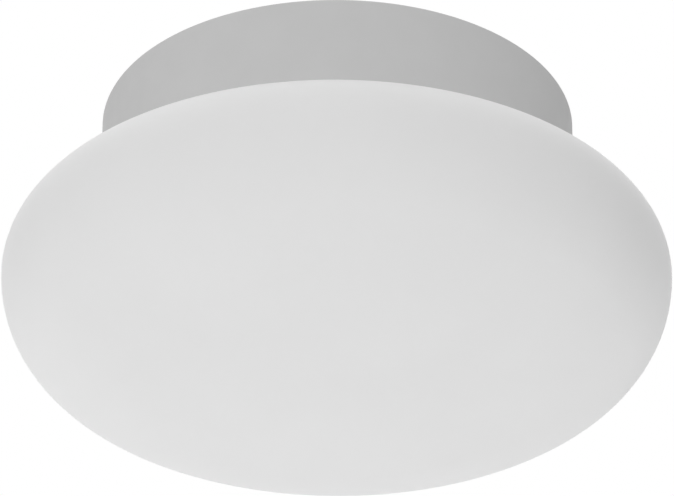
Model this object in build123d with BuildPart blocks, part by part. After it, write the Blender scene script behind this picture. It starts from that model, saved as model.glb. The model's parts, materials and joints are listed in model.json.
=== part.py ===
from build123d import *
import os
from math import cos, radians, sin, sqrt, tan

os.makedirs("parts", exist_ok=True)

# Glass diffuser: millimetres and degrees
GLASS_RADIUS = 150.0
GLASS_WALL = 3.5
LOWER_RIM_RADIUS = 45.0
LOWER_RIM_TURN = 60.0
BLEND_RADIUS = 140.0
BLEND_TURN = 20.0
UPPER_RIM_RADIUS = 23.5
SHOULDER_SLOPE = 8.0
NECK_FILLET = 4.0
NECK_INSERTION = 16.0
BEAD_HEIGHT = 3.0
BEAD_LENGTH = 3.0
BEAD_ROUNDING = 1.0
LIP_ROUNDING = 1.2

# Sheet-steel housing
HOUSING_RADIUS = 107.0
HOUSING_HEIGHT = 53.8
SHEET = 1.0
HOUSING_EDGE = 2.0
CEILING_EDGE = 1.2
MOUTH_HEM = 5.0
CEILING_RIM = 10.0
RECESS_DEPTH = 4.0
BEAD_CLEARANCE = 2.0

# Seals and the ceiling fixing
GASKET_WIDTH = 10.0
GASKET_CLEARANCE = 0.3
SEAL_THICKNESS = 1.9
SEAL_GAP = 0.3
SEAL_SETBACK = 0.8
SEAL_LIP = 1.1
MOUNT_SPACING = 160.0
SLOT_LENGTH = 12.0
SLOT_WIDTH = 5.5
WASHER_RADIUS = 8.0
WASHER_BORE_RADIUS = 2.6
WASHER_THICKNESS = 2.0
SCREW_ACCESS = 6.0

# Mains cable grommet
CABLE_BORE_RADIUS = 4.3
CABLE_ANGLE = -60.0
GROMMET_WALL = 2.7
GROMMET_FLANGE = 3.0
GROMMET_INSET = 2.7
GROMMET_UPPER = 2.5
GROMMET_LOWER = 3.0
GROMMET_ROUNDING = 0.8
GROMMET_GROOVE = 0.1

# Leaf spring clips
CLIP_ANGLES = (30.0, 150.0, 270.0)
CLIP_WIDTH = 12.0
CLIP_THICKNESS = 0.6
CLIP_SEAT = 0.15
CLIP_TOP_GAP = 8.0
CLIP_RISE = 2.0
CLIP_CLEARANCE = 0.3
CLIP_BEND = 1.5
CLIP_END_GAP = 1.6

# Gear tray and its pillars
STANDOFF_LENGTH = 44.0
STANDOFF_FLATS = 7.0
STANDOFF_SIDES = 6
STANDOFF_SHANK_RADIUS = 2.5
STANDOFF_ANGLES = (90.0, 210.0, 330.0)
TAPPED_DEPTH = 12.0
TRAY_MARGIN = 4.0
TRAY_WALL = 17.0
TRAY_BEND = 3.0
TRAY_CORNER = 5.0

# Light source
BOARD_RADIUS = 50.0
BOARD_THICKNESS = 1.6
LED_PITCH = 15.0
LEDS_PER_RING = 6
LED_EDGE = 4.0
LED_WIDTH = 2.8
LED_LENGTH = 3.5
LED_HEIGHT = 0.7
BOARD_SCREW_RADIUS = 38.0
CONNECTOR_WIDTH = 12.0
CONNECTOR_DEPTH = 9.0
CONNECTOR_HEIGHT = 4.2
BUSH_Y = -22.0
BUSH_BORE_RADIUS = 3.0
BUSH_WALL = 1.4
BUSH_FLANGE = 1.1
BUSH_LIP = 1.4

# Driver
DRIVER_LENGTH = 100.0
DRIVER_WIDTH = 42.0
DRIVER_BASE = 8.0
DRIVER_COVER = 18.0
DRIVER_Y = 14.0
CASE_WALL = 1.5
CASE_CORNER = 3.0
EAR_LENGTH = 11.0
EAR_WIDTH = 10.0
EAR_THICKNESS = 3.0
PCB_THICKNESS = 1.6
PCB_POST = 4.0
PCB_POST_RADIUS = 2.5
PCB_CLEARANCE = 0.5
DRIVER_TERMINAL = 10.0
DRIVER_TERMINAL_HEIGHT = 8.0
DRIVER_TERMINAL_WIDTH = 18.0
DRIVER_POLE_PITCH = 8.0
CORE_LENGTH = 20.0
CORE_WIDTH = 6.0
CORE_HEIGHT = 15.0
CORE_LIMB = 4.0
WINDING_WIDTH = 13.0
WINDING_CLEARANCE = 0.3
BULK_RADIUS = 6.25
BULK_HEIGHT = 16.0
FILM_LENGTH = 6.0
FILM_WIDTH = 13.0
FILM_HEIGHT = 11.0
CHOKE_RADIUS = 4.5
CHOKE_HEIGHT = 11.0
CHOKE_FLANGE = 1.2
CHOKE_GROOVE = 0.8
PART_SPACING = 6.0

# Mains terminal block
POLE_PITCH = 9.0
POLE_COUNT = 3
TERMINAL_DEPTH = 22.0
TERMINAL_HEIGHT = 16.0
TERMINAL_PLATE = 1.2
TERMINAL_GAP = 7.0
TERMINAL_END = 7.0
TERMINAL_LUG = 8.0
TERMINAL_LUG_HEIGHT = 4.0
POLE_LEVEL = 6.0
ENTRY_RADIUS = 1.9
ENTRY_FUNNEL = 0.7
ENTRY_DEPTH = 7.0
BUTTON_WIDTH = 5.4
BUTTON_DEPTH = 4.4
BUTTON_LENGTH = 9.0
BUTTON_STAND = 2.0
BUTTON_TRAVEL = 1.5
BUTTON_GAP = 0.3
BUTTON_SLOT = 0.8
CLAMP_WIDTH = 5.0
CLAMP_THICKNESS = 0.5
CLAMP_LENGTH = 13.0
CLAMP_GAP = 0.4
CLAMP_BEND = 1.0

# Earth point
EARTH_ANGLE = -120.0
EARTH_HOLE_RADIUS = 2.1
WASHER_HEIGHT = 0.8
LUG_SHEET = 0.8
LUG_RADIUS = 4.0
LUG_TONGUE = 7.0
LUG_BARREL = 8.0
LUG_BARREL_WALL = 0.6

# Roundings shared by the small moulded and wound pieces
MOULD_ROUNDING = 0.8
MOULD_EDGE = 0.5

# Wires and machine screws
MAINS_WIRE_RADIUS = 1.0
LED_WIRE_RADIUS = 0.8
WIRE_FIT = 0.2
WIRE_GRIP = 6.0
BEND_SHARE = 0.45
EARTH_LEAD = 14.0
EARTH_LOOP = 12.0
LUG_LEAD = 5.0
NEUTRAL_LEAD = 23.0
LINE_LEAD = 15.0
INNER_LOOP = 11.0
OUTER_LOOP = 18.0
INNER_TURN = 2.0
OUTER_TURN = 5.0
LED_WIRE_TURN = 4.0
LED_WIRE_SAG = 2.0
LED_WIRE_APPROACH = 33.0
LED_WIRE_SPREAD = 3.5
LED_POSITIVE_RISE = 14.0
LED_NEGATIVE_RISE = 18.0
SCREW_SHANK_RADIUS = 1.45
SCREW_HEAD_RADIUS = 3.0
SCREW_HEAD_HEIGHT = 2.2
SCREW_FIT = 0.15
SCREW_RECESS = 0.9
SCREW_RECESS_WIDTH = 0.8
SCREW_ROUNDING = 0.7
TRAY_SCREW_LENGTH = 9.0
BOARD_SCREW_LENGTH = 4.0
EAR_SCREW_LENGTH = 5.0
EARTH_SCREW_LENGTH = 4.0

# Glass profile, worked out so that each curve runs smoothly into the next
mouth_radius = HOUSING_RADIUS - SHEET - MOUTH_HEM
bead_radius = mouth_radius - BEAD_CLEARANCE
neck_radius = bead_radius - BEAD_HEIGHT
neck_bore = neck_radius - GLASS_WALL
shoulder_turn = 90 - SHOULDER_SLOPE
shoulder_tan = tan(radians(SHOULDER_SLOPE))
lower_rim_x = GLASS_RADIUS - LOWER_RIM_RADIUS
upper_rim_x = GLASS_RADIUS - UPPER_RIM_RADIUS
shoulder_start_x = upper_rim_x + UPPER_RIM_RADIUS * cos(radians(shoulder_turn))
shoulder_start_rise = UPPER_RIM_RADIUS * sin(radians(shoulder_turn))
shoulder_rise = shoulder_start_rise + (shoulder_start_x - HOUSING_RADIUS) * shoulder_tan
equator_z = -HOUSING_HEIGHT - SEAL_THICKNESS - SEAL_GAP - shoulder_rise
blend_step = BLEND_RADIUS - LOWER_RIM_RADIUS
blend_x = lower_rim_x - blend_step * cos(radians(LOWER_RIM_TURN))
blend_z = equator_z + blend_step * sin(radians(LOWER_RIM_TURN))
crown_turn = 90 - LOWER_RIM_TURN - BLEND_TURN
crown_radius = BLEND_RADIUS + blend_x / sin(radians(crown_turn))
crown_z = blend_z + blend_x / tan(radians(crown_turn))
glass_low_z = crown_z - crown_radius
neck_top_z = -HOUSING_HEIGHT + NECK_INSERTION
bead_low_z = neck_top_z - BEAD_LENGTH - BEAD_HEIGHT

# Levels and places in the housing
floor_z = -RECESS_DEPTH - SHEET
hem_top_z = SHEET - HOUSING_HEIGHT
housing_bore = HOUSING_RADIUS - SHEET
step_radius = HOUSING_RADIUS - CEILING_RIM
gasket_radius = step_radius - GASKET_CLEARANCE
mount_x = MOUNT_SPACING / 2
tray_radius = mount_x - SCREW_ACCESS
tray_flat = BOARD_RADIUS + TRAY_MARGIN
tray_top_z = floor_z - STANDOFF_LENGTH
tray_low_z = tray_top_z - SHEET
board_low_z = tray_low_z - BOARD_THICKNESS
standoff_radius = (BOARD_RADIUS + tray_radius) / 2
standoff_directions = [(cos(radians(angle)), sin(radians(angle))) for angle in STANDOFF_ANGLES]
standoff_points = [(standoff_radius * x, standoff_radius * y) for x, y in standoff_directions]
board_screw_points = [(BOARD_SCREW_RADIUS * x, BOARD_SCREW_RADIUS * y) for x, y in standoff_directions]
hole_radius = SCREW_SHANK_RADIUS + SCREW_FIT
grommet_radius = CABLE_BORE_RADIUS + GROMMET_WALL
entry_radius = gasket_radius - GASKET_WIDTH - GROMMET_INSET - GROMMET_FLANGE - grommet_radius
cable_point = (entry_radius * cos(radians(CABLE_ANGLE)), entry_radius * sin(radians(CABLE_ANGLE)))
earth_point = (entry_radius * cos(radians(EARTH_ANGLE)), entry_radius * sin(radians(EARTH_ANGLE)))
bush_radius = BUSH_BORE_RADIUS + BUSH_WALL

# Places of the driver and of what stands on its board
driver_end = DRIVER_LENGTH / 2
driver_joint_z = floor_z - DRIVER_BASE
driver_low_z = driver_joint_z - DRIVER_COVER
ear_x = driver_end + EAR_LENGTH / 2
pcb_length = DRIVER_LENGTH - 2 * (CASE_WALL + PCB_CLEARANCE)
pcb_width = DRIVER_WIDTH - 2 * (CASE_WALL + PCB_CLEARANCE)
pcb_top_z = floor_z - CASE_WALL - PCB_POST
pcb_low_z = pcb_top_z - PCB_THICKNESS
wire_z = pcb_low_z - DRIVER_TERMINAL_HEIGHT / 2
driver_terminal_x = (pcb_length - DRIVER_TERMINAL) / 2
core_x = driver_terminal_x - DRIVER_TERMINAL / 2 - PART_SPACING - CORE_LENGTH / 2
bulk_x = core_x - CORE_LENGTH / 2 - PART_SPACING - BULK_RADIUS
film_x = bulk_x - BULK_RADIUS - PART_SPACING - FILM_LENGTH / 2
choke_x = film_x - FILM_LENGTH / 2 - PART_SPACING - CHOKE_RADIUS
pole_ys = (DRIVER_Y - DRIVER_POLE_PITCH / 2, DRIVER_Y + DRIVER_POLE_PITCH / 2)

# Places of the mains terminal block and the earth point
terminal_y = -(tray_flat + TERMINAL_GAP + TERMINAL_DEPTH / 2)
terminal_back_y = terminal_y + TERMINAL_DEPTH / 2
terminal_front_y = terminal_y - TERMINAL_DEPTH / 2
terminal_width = POLE_PITCH * (POLE_COUNT - 1) + 2 * TERMINAL_END
terminal_top_z = floor_z - TERMINAL_PLATE
terminal_low_z = terminal_top_z - TERMINAL_HEIGHT
pole_z = terminal_low_z + POLE_LEVEL
pole_xs = [POLE_PITCH * (index - (POLE_COUNT - 1) / 2) for index in range(POLE_COUNT)]
terminal_lug_z = terminal_top_z - TERMINAL_LUG_HEIGHT
terminal_screw_x = (terminal_width + TERMINAL_LUG) / 2
screw_places = [(-terminal_screw_x, terminal_y), (terminal_screw_x, terminal_y)]
ear_places = [(-ear_x, DRIVER_Y), (ear_x, DRIVER_Y)]
mount_places = [(-mount_x, 0), (mount_x, 0)]
button_low_z = terminal_low_z - BUTTON_STAND
button_top_z = button_low_z + BUTTON_LENGTH
clamp_low_z = button_top_z + BUTTON_TRAVEL + BUTTON_GAP
lug_top_z = floor_z - WASHER_HEIGHT
lug_low_z = lug_top_z - LUG_SHEET
barrel_radius = MAINS_WIRE_RADIUS + WIRE_FIT + LUG_BARREL_WALL
barrel_z = lug_top_z - barrel_radius
barrel_y = earth_point[1] + LUG_TONGUE


def corner(section, x, y):
    """The corner of a flat section that lies nearest to a point."""
    return section.vertices().sort_by_distance(Vector(x, y))[0]


def radial_plane(angle):
    """An upright plane through the light's axis, with its X pointing outwards."""
    outward = (cos(radians(angle)), sin(radians(angle)), 0)
    sideways = (sin(radians(angle)), -cos(radians(angle)), 0)
    return Plane(origin=(0, 0, 0), x_dir=outward, z_dir=sideways)


def glass_skin(inset, top_z):
    """One skin of the glass wall, from its lowest point over the rim and up the neck."""
    neck_x = neck_radius - inset
    CenterArc((0, crown_z), crown_radius - inset, -90, crown_turn)
    CenterArc((blend_x, blend_z), BLEND_RADIUS - inset, crown_turn - 90, BLEND_TURN)
    CenterArc((lower_rim_x, equator_z), LOWER_RIM_RADIUS - inset, -LOWER_RIM_TURN, LOWER_RIM_TURN)
    rim = CenterArc((upper_rim_x, equator_z), UPPER_RIM_RADIUS - inset, 0, shoulder_turn)
    shoulder = rim @ 1
    neck_foot_z = shoulder.Y + (shoulder.X - neck_x) * shoulder_tan
    FilletPolyline(shoulder, (neck_x, neck_foot_z), (neck_x, top_z), radius=NECK_FILLET + inset)


def pan_screws(points, seat_z, length):
    """Cross-recess screws whose heads hang below a seat and whose shanks stand up through it."""
    head_low_z = seat_z - SCREW_HEAD_HEIGHT
    with BuildSketch(Plane.XY.offset(head_low_z)) as head_outline:
        with Locations(*points):
            Circle(SCREW_HEAD_RADIUS)
    heads = extrude(head_outline.sketch, amount=SCREW_HEAD_HEIGHT)
    fillet(heads.edges().group_by(Axis.Z)[0], SCREW_ROUNDING)
    with BuildSketch(Plane.XY.offset(seat_z)) as shank_outline:
        with Locations(*points):
            Circle(SCREW_SHANK_RADIUS)
    extrude(shank_outline.sketch, amount=length)
    with BuildSketch(Plane.XY.offset(head_low_z)) as recess_outline:
        with Locations(*points):
            Rectangle(SCREW_HEAD_RADIUS, SCREW_RECESS_WIDTH)
            Rectangle(SCREW_RECESS_WIDTH, SCREW_HEAD_RADIUS)
    extrude(recess_outline.sketch, amount=SCREW_RECESS, mode=Mode.SUBTRACT)


def holes(points, radius, low_z, depth):
    """Round holes cut upwards from a level."""
    with BuildSketch(Plane.XY.offset(low_z)) as outline:
        with Locations(*points):
            Circle(radius)
    extrude(outline.sketch, amount=depth, mode=Mode.SUBTRACT)


def wire_radii(points):
    """The largest bend that the two runs beside each corner of a wire's route allow."""
    vectors = [Vector(*point) for point in points]
    runs = [end - start for start, end in zip(vectors, vectors[1:])]
    return [
        BEND_SHARE * min(before.length, after.length) / tan(radians(before.get_angle(after) / 2))
        for before, after in zip(runs, runs[1:])
    ]


# Glass diffuser: one blown shell, open at its neck
with BuildPart() as glass_diffuser:
    with BuildSketch(Plane.XZ) as glass_section:
        with BuildLine():
            glass_skin(0, bead_low_z)
            Polyline(
                (neck_radius, bead_low_z),
                (bead_radius, bead_low_z + BEAD_HEIGHT),
                (bead_radius, neck_top_z),
                (neck_bore, neck_top_z),
            )
            glass_skin(GLASS_WALL, neck_top_z)
            Line((0, glass_low_z), (0, glass_low_z + GLASS_WALL))
        make_face()
        fillet(corner(glass_section, bead_radius, bead_low_z + BEAD_HEIGHT), BEAD_ROUNDING)
        fillet(corner(glass_section, bead_radius, neck_top_z), LIP_ROUNDING)
        fillet(corner(glass_section, neck_bore, neck_top_z), LIP_ROUNDING)
    revolve(axis=Axis.Z)
glass_diffuser.part.label = "glass_diffuser"
export_step(glass_diffuser.part, "parts/glass_diffuser.step")

# Housing shell: a drawn cup with a stepped floor and a turned-in hem at its mouth
with BuildPart() as housing_shell:
    with BuildSketch(Plane.XZ) as housing_section:
        with BuildLine():
            Polyline(
                (0, -RECESS_DEPTH),
                (step_radius, -RECESS_DEPTH),
                (step_radius, 0),
                (HOUSING_RADIUS, 0),
                (HOUSING_RADIUS, -HOUSING_HEIGHT),
                (mouth_radius, -HOUSING_HEIGHT),
                (mouth_radius, hem_top_z),
                (housing_bore, hem_top_z),
                (housing_bore, -SHEET),
                (step_radius + SHEET, -SHEET),
                (step_radius + SHEET, floor_z),
                (0, floor_z),
                close=True,
            )
        make_face()
        fillet(corner(housing_section, HOUSING_RADIUS, 0), CEILING_EDGE)
        fillet(corner(housing_section, HOUSING_RADIUS, -HOUSING_HEIGHT), HOUSING_EDGE)
        fillet(corner(housing_section, housing_bore, -SHEET), CEILING_EDGE - SHEET)
        fillet(corner(housing_section, housing_bore, hem_top_z), HOUSING_EDGE - SHEET)
        fillet(corner(housing_section, step_radius, 0), SHEET / 2)
        fillet(corner(housing_section, step_radius + SHEET, floor_z), SHEET / 2)
    revolve(axis=Axis.Z)
    with BuildSketch(Plane.XY.offset(floor_z)):
        with Locations(*mount_places):
            SlotOverall(SLOT_LENGTH, SLOT_WIDTH)
        with Locations(cable_point):
            Circle(grommet_radius + GROMMET_GROOVE)
        with Locations(earth_point):
            Circle(EARTH_HOLE_RADIUS)
        with Locations(*standoff_points):
            Circle(STANDOFF_SHANK_RADIUS + SCREW_FIT)
        with Locations(*ear_places):
            Circle(hole_radius)
        with Locations(*screw_places):
            Circle(hole_radius)
    extrude(amount=SHEET, mode=Mode.SUBTRACT)
housing_shell.part.label = "housing_shell"
export_step(housing_shell.part, "parts/housing_shell.step")

# Ceiling gasket: a foam ring that fills the recess up to the ceiling's plane
with BuildPart() as ceiling_gasket:
    with BuildSketch(Plane.XY.offset(-RECESS_DEPTH)):
        Circle(gasket_radius)
        Circle(gasket_radius - GASKET_WIDTH, mode=Mode.SUBTRACT)
    extrude(amount=RECESS_DEPTH)
ceiling_gasket.part.label = "ceiling_gasket"
export_step(ceiling_gasket.part, "parts/ceiling_gasket.step")

# Glass seal: a soft ring under the hem, with a lip in the mouth and a face that follows the shoulder
seal_outer = HOUSING_RADIUS - SEAL_SETBACK
seal_inner = mouth_radius - SEAL_LIP
seal_low_z = -HOUSING_HEIGHT - SEAL_THICKNESS
with BuildPart() as glass_seal:
    with BuildSketch(Plane.XZ):
        with BuildLine():
            Polyline(
                (seal_inner, seal_low_z + (HOUSING_RADIUS - seal_inner) * shoulder_tan),
                (seal_outer, seal_low_z + SEAL_SETBACK * shoulder_tan),
                (seal_outer, -HOUSING_HEIGHT),
                (mouth_radius - SEAL_GAP, -HOUSING_HEIGHT),
                (mouth_radius - SEAL_GAP, hem_top_z),
                (seal_inner, hem_top_z),
                close=True,
            )
        make_face()
    revolve(axis=Axis.Z)
glass_seal.part.label = "glass_seal"
export_step(glass_seal.part, "parts/glass_seal.step")

# Washers that seal the two ceiling screws
with BuildPart() as mounting_seals:
    with BuildSketch(Plane.XY.offset(floor_z - WASHER_THICKNESS)):
        with Locations(*mount_places):
            Circle(WASHER_RADIUS)
            Circle(WASHER_BORE_RADIUS, mode=Mode.SUBTRACT)
    extrude(amount=WASHER_THICKNESS)
mounting_seals.part.label = "mounting_seals"
export_step(mounting_seals.part, "parts/mounting_seals.step")

# Cable grommet: two flanges that grip the housing's floor
with BuildPart() as cable_grommet:
    with BuildSketch(Plane.XY.offset(floor_z - GROMMET_LOWER)):
        with Locations(cable_point):
            Circle(grommet_radius + GROMMET_FLANGE)
    extrude(amount=GROMMET_LOWER)
    with BuildSketch(Plane.XY.offset(floor_z)):
        with Locations(cable_point):
            Circle(grommet_radius)
    extrude(amount=SHEET)
    with BuildSketch(Plane.XY.offset(-RECESS_DEPTH)):
        with Locations(cable_point):
            Circle(grommet_radius + GROMMET_FLANGE)
    extrude(amount=GROMMET_UPPER)
    fillet(cable_grommet.edges().group_by(Axis.Z)[0], GROMMET_ROUNDING)
    fillet(cable_grommet.edges().group_by(Axis.Z)[-1], GROMMET_ROUNDING)
    holes([cable_point], CABLE_BORE_RADIUS, floor_z - GROMMET_LOWER, GROMMET_LOWER + SHEET + GROMMET_UPPER)
cable_grommet.part.label = "cable_grommet"
export_step(cable_grommet.part, "parts/cable_grommet.step")

# Leaf springs: a foot welded to the wall, an arm under the glass's bead and a flared end
clip_half = CLIP_THICKNESS / 2
clip_foot_x = sqrt(housing_bore**2 - (CLIP_WIDTH / 2) ** 2) - CLIP_SEAT - clip_half
clip_top_z = floor_z - CLIP_TOP_GAP
clip_bend_z = neck_top_z + CLIP_RISE
clip_nose_x = neck_radius + CLIP_CLEARANCE
clip_nose_z = bead_low_z - CLIP_BEND + CLIP_THICKNESS
clip_end_x = mouth_radius - CLIP_THICKNESS
clip_end_z = hem_top_z + CLIP_END_GAP
for number, angle in enumerate(CLIP_ANGLES, start=1):
    with BuildPart() as spring_clip:
        with BuildSketch(radial_plane(angle)):
            with BuildLine():
                FilletPolyline(
                    (clip_foot_x, clip_top_z),
                    (clip_foot_x, clip_bend_z),
                    (clip_nose_x, clip_nose_z),
                    (clip_end_x, clip_end_z),
                    radius=CLIP_BEND,
                )
            trace(line_width=CLIP_THICKNESS)
        extrude(amount=CLIP_WIDTH / 2, both=True)
    spring_clip.part.label = f"spring_clip_{number}"
    export_step(spring_clip.part, f"parts/spring_clip_{number}.step")

# Hexagonal pillars, riveted into the housing's floor and tapped for the tray's screws
with BuildPart() as tray_standoffs:
    with BuildSketch(Plane.XY.offset(tray_top_z)):
        with Locations(*standoff_points):
            RegularPolygon(STANDOFF_FLATS / 2, STANDOFF_SIDES, major_radius=False)
    extrude(amount=STANDOFF_LENGTH)
    with BuildSketch(Plane.XY.offset(floor_z)):
        with Locations(*standoff_points):
            Circle(STANDOFF_SHANK_RADIUS)
    extrude(amount=SHEET)
    holes(standoff_points, hole_radius, tray_top_z, TAPPED_DEPTH)
tray_standoffs.part.label = "tray_standoffs"
export_step(tray_standoffs.part, "parts/tray_standoffs.step")

# Gear tray: a dish with one flat side, which leaves the terminal block in reach
with BuildPart() as gear_tray:
    with BuildSketch(Plane.XY.offset(tray_low_z)):
        Circle(tray_radius)
        with Locations((0, -tray_flat)):
            Rectangle(2 * tray_radius, 2 * tray_radius, align=(Align.CENTER, Align.MAX), mode=Mode.SUBTRACT)
    extrude(amount=TRAY_WALL)
    fillet(gear_tray.edges().filter_by(Axis.Z), TRAY_CORNER)
    fillet(gear_tray.edges().group_by(Axis.Z)[0], TRAY_BEND)
    offset(amount=-SHEET, openings=gear_tray.faces().sort_by(Axis.Z)[-1])
    holes(standoff_points + board_screw_points, hole_radius, tray_low_z, SHEET)
    holes([(0, BUSH_Y)], bush_radius + WIRE_FIT, tray_low_z, SHEET)
gear_tray.part.label = "gear_tray"
export_step(gear_tray.part, "parts/gear_tray.step")

with BuildPart() as tray_screws:
    pan_screws(standoff_points, tray_low_z, TRAY_SCREW_LENGTH)
tray_screws.part.label = "tray_screws"
export_step(tray_screws.part, "parts/tray_screws.step")

# Light source: a round board with rings of emitters
with BuildPart() as led_board:
    with BuildSketch(Plane.XY.offset(board_low_z)):
        Circle(BOARD_RADIUS)
    extrude(amount=BOARD_THICKNESS)
    holes(board_screw_points, hole_radius, board_low_z, BOARD_THICKNESS)
    holes([(0, BUSH_Y)], bush_radius + BUSH_FLANGE + WIRE_FIT, board_low_z, BOARD_THICKNESS)
led_board.part.label = "led_board"
export_step(led_board.part, "parts/led_board.step")

led_rings = int((BOARD_RADIUS - LED_EDGE) / LED_PITCH)
with BuildPart() as led_chips:
    with BuildSketch(Plane.XY.offset(board_low_z - LED_HEIGHT)):
        for ring in range(1, led_rings + 1):
            ring_count = LEDS_PER_RING * ring
            stagger = 0 if ring % 2 else 180 / ring_count
            with PolarLocations(ring * LED_PITCH, ring_count, start_angle=stagger):
                Rectangle(LED_LENGTH, LED_WIDTH)
    extrude(amount=LED_HEIGHT)
led_chips.part.label = "led_chips"
export_step(led_chips.part, "parts/led_chips.step")

with BuildPart() as led_board_screws:
    pan_screws(board_screw_points, board_low_z, BOARD_SCREW_LENGTH)
led_board_screws.part.label = "led_board_screws"
export_step(led_board_screws.part, "parts/led_board_screws.step")

# Wire connector in the middle of the board, with its two entries facing the bush
connector_low_z = board_low_z - CONNECTOR_HEIGHT
led_wire_z = board_low_z - CONNECTOR_HEIGHT / 2
led_wire_xs = (-BUSH_BORE_RADIUS / 2, BUSH_BORE_RADIUS / 2)
with BuildPart() as led_connector:
    with BuildSketch(Plane.XY.offset(connector_low_z)):
        RectangleRounded(CONNECTOR_WIDTH, CONNECTOR_DEPTH, MOULD_ROUNDING)
    extrude(amount=CONNECTOR_HEIGHT)
    fillet(led_connector.edges().group_by(Axis.Z)[0], MOULD_EDGE)
    with BuildSketch(Plane.XZ.offset(CONNECTOR_DEPTH / 2)):
        with Locations(*[(x, led_wire_z) for x in led_wire_xs]):
            Circle(LED_WIRE_RADIUS + WIRE_FIT)
    extrude(amount=-WIRE_GRIP, mode=Mode.SUBTRACT)
led_connector.part.label = "led_connector"
export_step(led_connector.part, "parts/led_connector.step")

# Bush that keeps the wires off the tray's edge
with BuildPart() as wire_bush:
    for low_z, height, radius in (
        (tray_low_z - BUSH_LIP, BUSH_LIP, bush_radius + BUSH_FLANGE),
        (tray_low_z, SHEET, bush_radius),
        (tray_top_z, BUSH_LIP, bush_radius + BUSH_FLANGE),
    ):
        with BuildSketch(Plane.XY.offset(low_z)):
            with Locations((0, BUSH_Y)):
                Circle(radius)
        extrude(amount=height)
    holes([(0, BUSH_Y)], BUSH_BORE_RADIUS, tray_low_z - BUSH_LIP, SHEET + 2 * BUSH_LIP)
wire_bush.part.label = "wire_bush"
export_step(wire_bush.part, "parts/wire_bush.step")

# Driver case: a base with posts and screw ears, and a cover that closes it from below
pcb_post_points = [
    (side * (pcb_length / 2 - PCB_POST_RADIUS), DRIVER_Y + end * (pcb_width / 2 - PCB_POST_RADIUS))
    for side in (-1, 1)
    for end in (-1, 1)
]
cavity_length = DRIVER_LENGTH - 2 * CASE_WALL
cavity_width = DRIVER_WIDTH - 2 * CASE_WALL
cavity_corner = CASE_CORNER - CASE_WALL
with BuildPart() as driver_base:
    with BuildSketch(Plane.XY.offset(driver_joint_z)):
        with Locations((0, DRIVER_Y)):
            RectangleRounded(DRIVER_LENGTH, DRIVER_WIDTH, CASE_CORNER)
    extrude(amount=DRIVER_BASE)
    with BuildSketch(Plane.XY.offset(driver_joint_z)):
        with Locations((0, DRIVER_Y)):
            RectangleRounded(cavity_length, cavity_width, cavity_corner)
    extrude(amount=DRIVER_BASE - CASE_WALL, mode=Mode.SUBTRACT)
    with BuildSketch(Plane.XY.offset(floor_z - EAR_THICKNESS)):
        with Locations(*ear_places):
            Rectangle(EAR_LENGTH, EAR_WIDTH)
    extrude(amount=EAR_THICKNESS)
    holes(ear_places, hole_radius, floor_z - EAR_THICKNESS, EAR_THICKNESS)
    with BuildSketch(Plane.XY.offset(pcb_top_z)):
        with Locations(*pcb_post_points):
            Circle(PCB_POST_RADIUS)
    extrude(amount=PCB_POST)
driver_base.part.label = "driver_base"
export_step(driver_base.part, "parts/driver_base.step")

with BuildPart() as driver_cover:
    with BuildSketch(Plane.XY.offset(driver_low_z)):
        with Locations((0, DRIVER_Y)):
            RectangleRounded(DRIVER_LENGTH, DRIVER_WIDTH, CASE_CORNER)
    extrude(amount=DRIVER_COVER)
    fillet(driver_cover.edges().group_by(Axis.Z)[0], CASE_WALL)
    with BuildSketch(Plane.XY.offset(driver_low_z + CASE_WALL)):
        with Locations((0, DRIVER_Y)):
            RectangleRounded(cavity_length, cavity_width, cavity_corner)
    extrude(amount=DRIVER_COVER - CASE_WALL, mode=Mode.SUBTRACT)
    with BuildSketch(Plane.YZ):
        with Locations(*[(y, wire_z) for y in pole_ys]):
            Circle(MAINS_WIRE_RADIUS + 2 * WIRE_FIT)
    extrude(amount=driver_end, both=True, mode=Mode.SUBTRACT)
driver_cover.part.label = "driver_cover"
export_step(driver_cover.part, "parts/driver_cover.step")

with BuildPart() as driver_screws:
    pan_screws(ear_places, floor_z - EAR_THICKNESS, EAR_SCREW_LENGTH)
driver_screws.part.label = "driver_screws"
export_step(driver_screws.part, "parts/driver_screws.step")

with BuildPart() as driver_pcb:
    with BuildSketch(Plane.XY.offset(pcb_low_z)):
        with Locations((0, DRIVER_Y)):
            RectangleRounded(pcb_length, pcb_width, cavity_corner)
    extrude(amount=PCB_THICKNESS)
driver_pcb.part.label = "driver_pcb"
export_step(driver_pcb.part, "parts/driver_pcb.step")

# Push-in terminals at the driver's two ends
for name, side in (("driver_input_terminal", 1), ("driver_output_terminal", -1)):
    with BuildPart() as driver_terminal:
        with BuildSketch(Plane.XY.offset(pcb_low_z - DRIVER_TERMINAL_HEIGHT)):
            with Locations((side * driver_terminal_x, DRIVER_Y)):
                RectangleRounded(DRIVER_TERMINAL, DRIVER_TERMINAL_WIDTH, MOULD_ROUNDING)
        extrude(amount=DRIVER_TERMINAL_HEIGHT)
        with BuildSketch(Plane.YZ.offset(side * pcb_length / 2)):
            with Locations(*[(y, wire_z) for y in pole_ys]):
                Circle(MAINS_WIRE_RADIUS + WIRE_FIT)
        extrude(amount=-side * (WIRE_GRIP + WIRE_FIT), mode=Mode.SUBTRACT)
    driver_terminal.part.label = name
    export_step(driver_terminal.part, f"parts/{name}.step")

# Transformer: a ferrite frame round a taped winding
with BuildPart() as transformer_core:
    with BuildSketch(Plane.XZ.offset(-DRIVER_Y)):
        with Locations((core_x, pcb_low_z - CORE_HEIGHT / 2)):
            Rectangle(CORE_LENGTH, CORE_HEIGHT)
            Rectangle(CORE_LENGTH - 2 * CORE_LIMB, CORE_HEIGHT - 2 * CORE_LIMB, mode=Mode.SUBTRACT)
    extrude(amount=CORE_WIDTH / 2, both=True)
transformer_core.part.label = "transformer_core"
export_step(transformer_core.part, "parts/transformer_core.step")

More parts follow.
